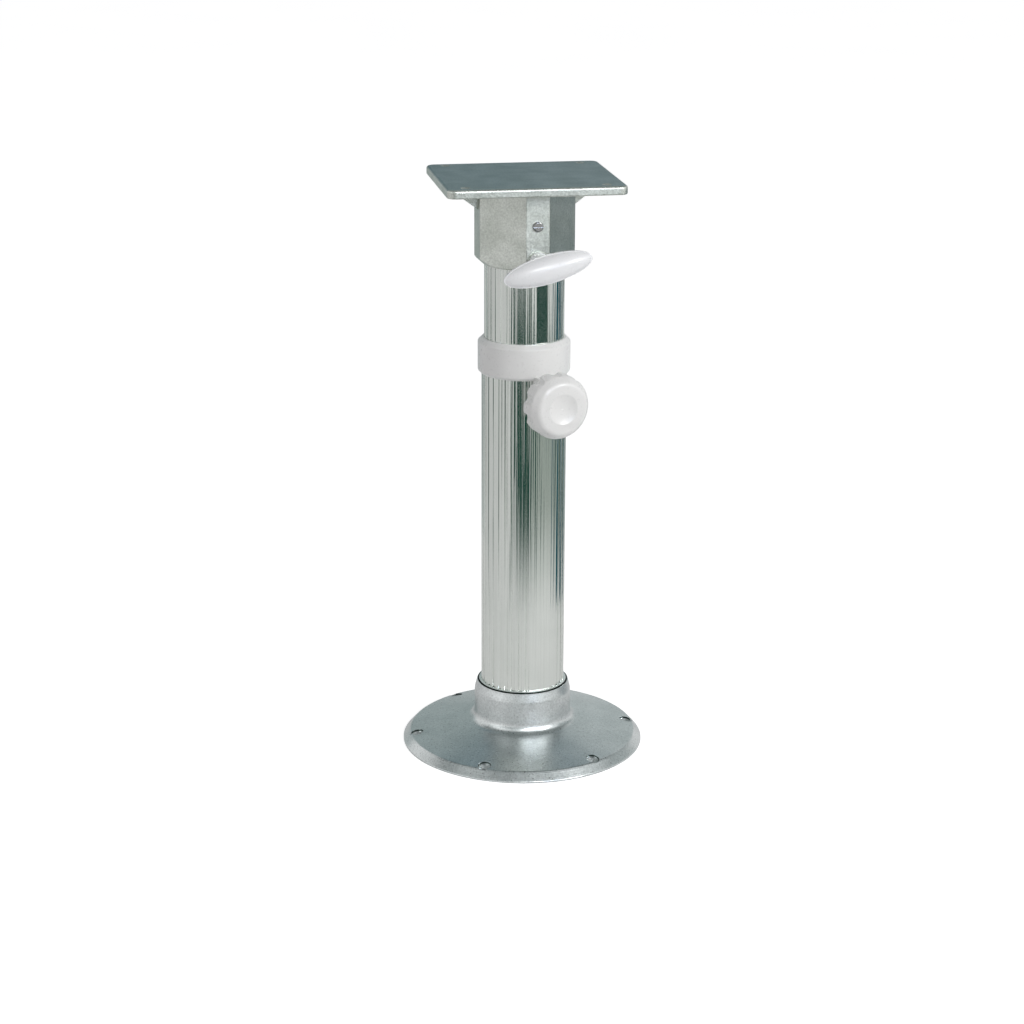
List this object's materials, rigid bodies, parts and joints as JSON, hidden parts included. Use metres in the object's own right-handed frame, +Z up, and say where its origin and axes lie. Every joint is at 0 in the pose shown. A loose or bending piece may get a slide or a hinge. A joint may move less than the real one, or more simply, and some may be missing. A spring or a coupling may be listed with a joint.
{
  "type": "adjustable seat pedestal",
  "caption": "Height-adjustable swivel seat pedestal: round floor flange, fluted telescopic post, clamp knob, swivel lock handle and flat seat plate.",
  "frame": {"origin": "middle of the base flange's underside, on the floor", "axes": "+Z up along the post, plate edges along X and Y, handle and clamp knob towards -Y"},
  "size_m": [0.23, 0.23, 0.547],
  "materials": {
    "cast_aluminium": "satin, as cast",
    "anodised_aluminium": "bright anodised",
    "turned_aluminium": "turned",
    "white_nylon": "moulded, smooth",
    "acetal": "moulded",
    "stainless_steel": "bright",
    "brass": "turned"
  },
  "bodies": {
    "stand": {"base_flange": "cast_aluminium", "foot_ring": "turned_aluminium", "outer_tube": "anodised_aluminium", "collar": "white_nylon", "clamp_insert": "brass"},
    "column": {"inner_tube": "anodised_aluminium", "guide_ring": "acetal", "guide_rivets": "turned_aluminium", "swivel_spigot": "cast_aluminium", "spigot_rivets": "turned_aluminium", "swivel_sleeve": "acetal", "thrust_washer": "acetal"},
    "seat_head": {"head_casting": "cast_aluminium", "retaining_screw": "stainless_steel"},
    "column_pad": {"clamp_pad": "acetal"},
    "height_knob": {"clamp_stud": "stainless_steel", "clamp_knob": "white_nylon"},
    "swivel_pad": {"lock_pad": "acetal"},
    "swivel_handle": {"wing_stud": "stainless_steel", "wing_handle": "white_nylon"}
  },
  "joints": [
    {"name": "column_slide", "type": "slide", "parent": "stand", "child": "column", "axis": [0, 0, 1], "range_m": [-0.067, 0.113]},
    {"name": "head_swivel", "type": "hinge", "parent": "column", "child": "seat_head", "pos_m": [0, 0, 0.508], "axis": [0, 0, 1], "continuous": true},
    {"name": "clamp_pad_slide", "type": "slide", "parent": "stand", "child": "column_pad", "axis": [0.284, -0.9588, 0], "range_m": [0, 0.003]},
    {"name": "clamp_knob_turn", "type": "hinge", "parent": "column_pad", "child": "height_knob", "pos_m": [0.01619, -0.05465, 0.347], "axis": [0.284, -0.9588, 0], "range_deg": [0, 720]},
    {"name": "lock_pad_slide", "type": "slide", "parent": "seat_head", "child": "swivel_pad", "axis": [0.0906, -0.9959, 0], "range_m": [0, 0.00125]},
    {"name": "wing_handle_turn", "type": "hinge", "parent": "swivel_pad", "child": "swivel_handle", "pos_m": [0.00707, -0.07771, 0.4764], "axis": [0.0906, -0.9959, 0], "range_deg": [0, 360]}
  ],
  "couplings": [
    {"joint": "clamp_pad_slide", "follows": "clamp_knob_turn", "m_per_rad": 0.00023873},
    {"joint": "lock_pad_slide", "follows": "wing_handle_turn", "m_per_rad": 0.00019894}
  ]
}
